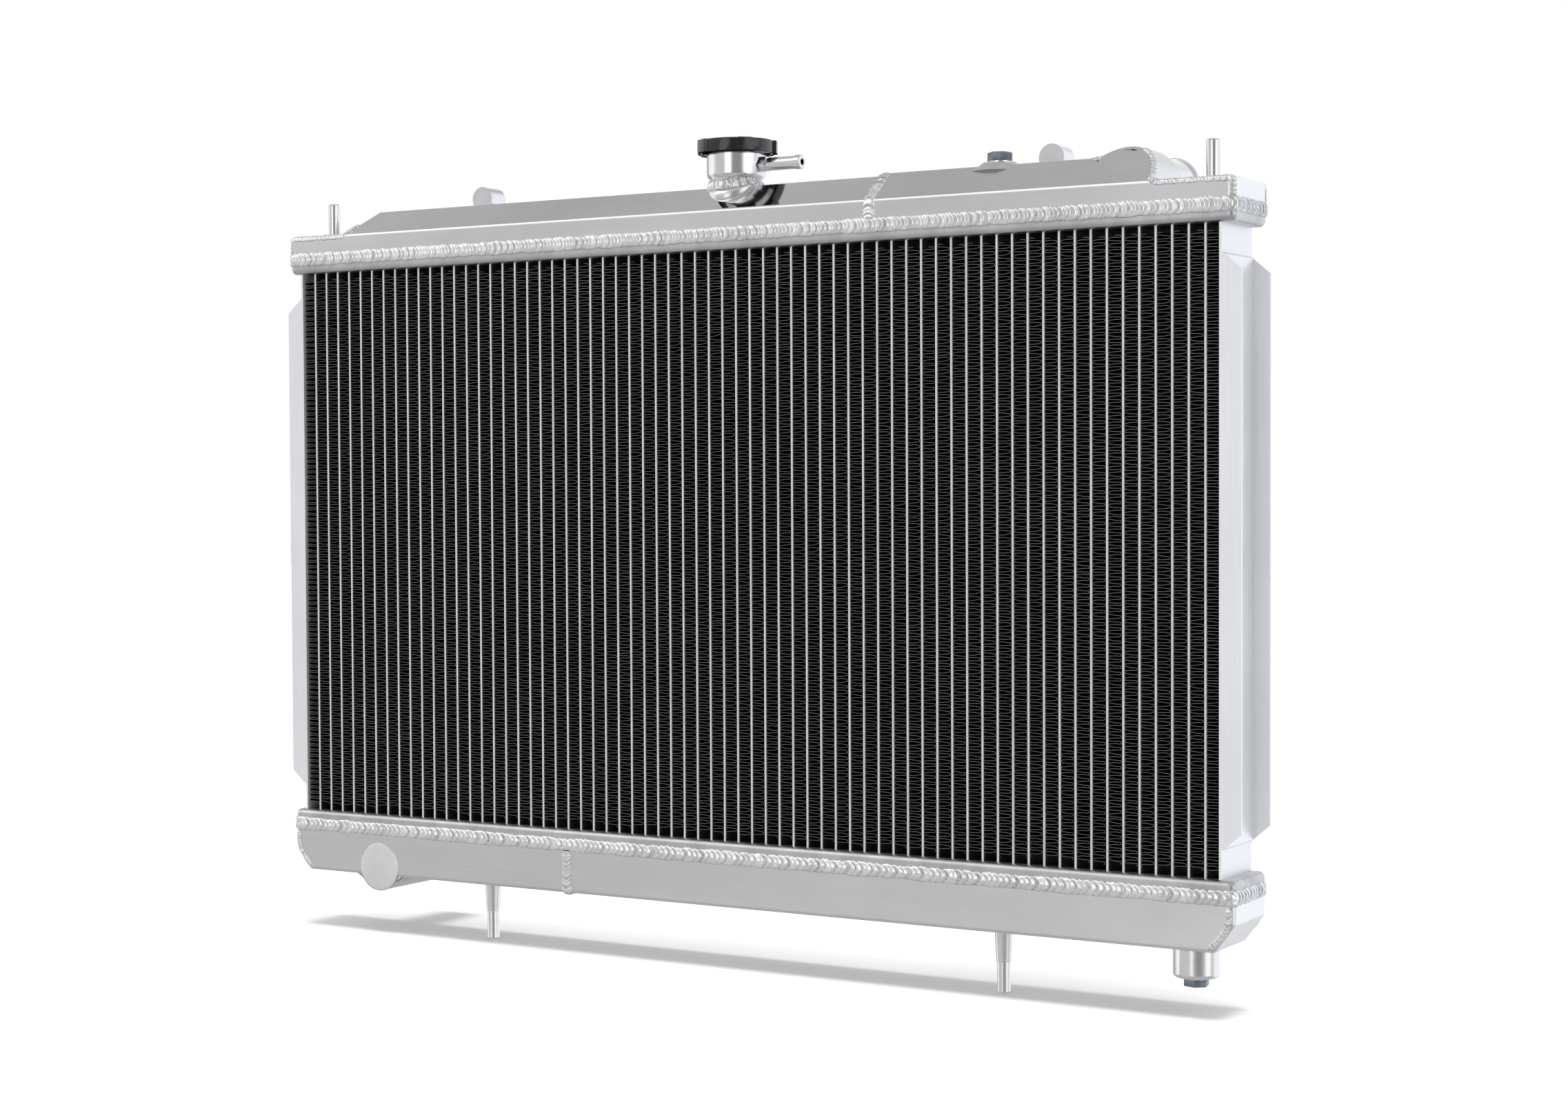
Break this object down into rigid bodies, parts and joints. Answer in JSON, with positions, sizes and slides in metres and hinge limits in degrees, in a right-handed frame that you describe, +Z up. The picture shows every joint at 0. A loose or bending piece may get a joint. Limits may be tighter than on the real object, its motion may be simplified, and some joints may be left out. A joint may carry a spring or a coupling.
{
  "type": "car radiator",
  "caption": "Down-flow engine radiator: welded sheet tanks above and below a finned tube core, with filler neck, pressure cap, hose pipes, locating pins and plugs.",
  "frame": {"origin": "midway between the lower pegs, level with their shoulders", "axes": "+X along the width, to the right seen from the grille side; +Y back to the engine; +Z up"},
  "size_m": [0.6944, 0.0968, 0.5183],
  "materials": {
    "satin_aluminium": "satin, lightly brushed rolled sheet",
    "weld_aluminium": "rippled weld metal, bright",
    "black_fins": "thin matt black coat on foil",
    "tube_aluminium": "bright extruded",
    "turned_aluminium": "fine turned",
    "cap_black": "gloss black",
    "cap_steel": "pressed steel, satin",
    "seal_rubber": "matt black",
    "valve_brass": "satin",
    "plug_steel": "zinc plated, blue grey",
    "washer_aluminium": "satin"
  },
  "bodies": {
    "radiator": {"tube_row_front": "tube_aluminium", "tube_row_rear": "tube_aluminium", "core_fins": "black_fins", "end_plate_left": "satin_aluminium", "end_plate_right": "satin_aluminium", "side_channel_left": "satin_aluminium", "side_channel_right": "satin_aluminium", "top_header_plate": "satin_aluminium", "bottom_header_plate": "satin_aluminium", "top_tank_left": "satin_aluminium", "top_tank_right": "satin_aluminium", "top_end_cap_left": "satin_aluminium", "top_end_cap_right": "satin_aluminium", "inlet_arch": "satin_aluminium", "bottom_tank_left": "satin_aluminium", "bottom_tank_right": "satin_aluminium", "bottom_end_cap_left": "satin_aluminium", "bottom_end_cap_right": "satin_aluminium", "inlet_pipe": "satin_aluminium", "outlet_pipe": "satin_aluminium", "outlet_pipe_disc": "satin_aluminium", "filler_neck": "turned_aluminium", "overflow_nipple": "turned_aluminium", "bleed_boss": "turned_aluminium", "drain_boss": "turned_aluminium", "upper_pins": "turned_aluminium", "lower_pegs": "turned_aluminium", "shroud_bosses": "turned_aluminium", "top_header_weld": "weld_aluminium", "bottom_header_weld": "weld_aluminium", "top_seam_weld": "weld_aluminium", "bottom_seam_weld": "weld_aluminium", "neck_weld": "weld_aluminium", "bleed_weld": "weld_aluminium", "drain_weld": "weld_aluminium", "peg_welds": "weld_aluminium"},
    "cap": {"cap_shell": "cap_black", "cap_bayonet": "cap_steel", "cap_top_seal": "seal_rubber", "cap_rivet": "cap_steel", "cap_spring_guide": "cap_steel", "cap_spring": "cap_steel"},
    "pressure_valve_unit": {"pressure_valve": "cap_steel", "pressure_seal": "seal_rubber", "vacuum_spring": "cap_steel"},
    "vacuum_valve_unit": {"vacuum_valve": "valve_brass"},
    "bleed_washer_unit": {"bleed_washer": "washer_aluminium"},
    "bleed_plug_unit": {"bleed_plug": "plug_steel"},
    "drain_washer_unit": {"drain_washer": "washer_aluminium"},
    "drain_plug_unit": {"drain_plug": "plug_steel"}
  },
  "joints": [
    {"name": "cap_turn", "type": "hinge", "parent": "radiator", "child": "cap", "pos_m": [0, 0.008, 0.4955], "axis": [0, 0, 1], "range_deg": [0, 90]},
    {"name": "pressure_valve_lift", "type": "slide", "parent": "cap", "child": "pressure_valve_unit", "axis": [0, 0, 1], "range_m": [0, 0.0025], "stiffness_N_per_m": 5000, "springref_m": -0.01, "deforming": ["cap_spring"]},
    {"name": "vacuum_valve_drop", "type": "slide", "parent": "pressure_valve_unit", "child": "vacuum_valve_unit", "axis": [0, 0, -1], "range_m": [0, 0.0012], "stiffness_N_per_m": 100, "springref_m": -0.001, "deforming": ["vacuum_spring"]},
    {"name": "bleed_travel", "type": "slide", "parent": "radiator", "child": "bleed_washer_unit", "axis": [0, 0, 1], "range_m": [0, 0.01]},
    {"name": "bleed_spin", "type": "hinge", "parent": "bleed_washer_unit", "child": "bleed_plug_unit", "pos_m": [0.1835, 0.01, 0.4755], "axis": [0, 0, 1], "range_deg": [0, 3600]},
    {"name": "drain_travel", "type": "slide", "parent": "radiator", "child": "drain_washer_unit", "axis": [0, 0, -1], "range_m": [0, 0.015]},
    {"name": "drain_spin", "type": "hinge", "parent": "drain_washer_unit", "child": "drain_plug_unit", "pos_m": [0.3124, 0, 0.0012], "axis": [0, 0, -1], "range_deg": [0, 3600]}
  ],
  "couplings": [
    {"joint": "bleed_travel", "follows": "bleed_spin", "m_per_rad": 0.00015915},
    {"joint": "drain_travel", "follows": "drain_spin", "m_per_rad": 0.00023873}
  ]
}
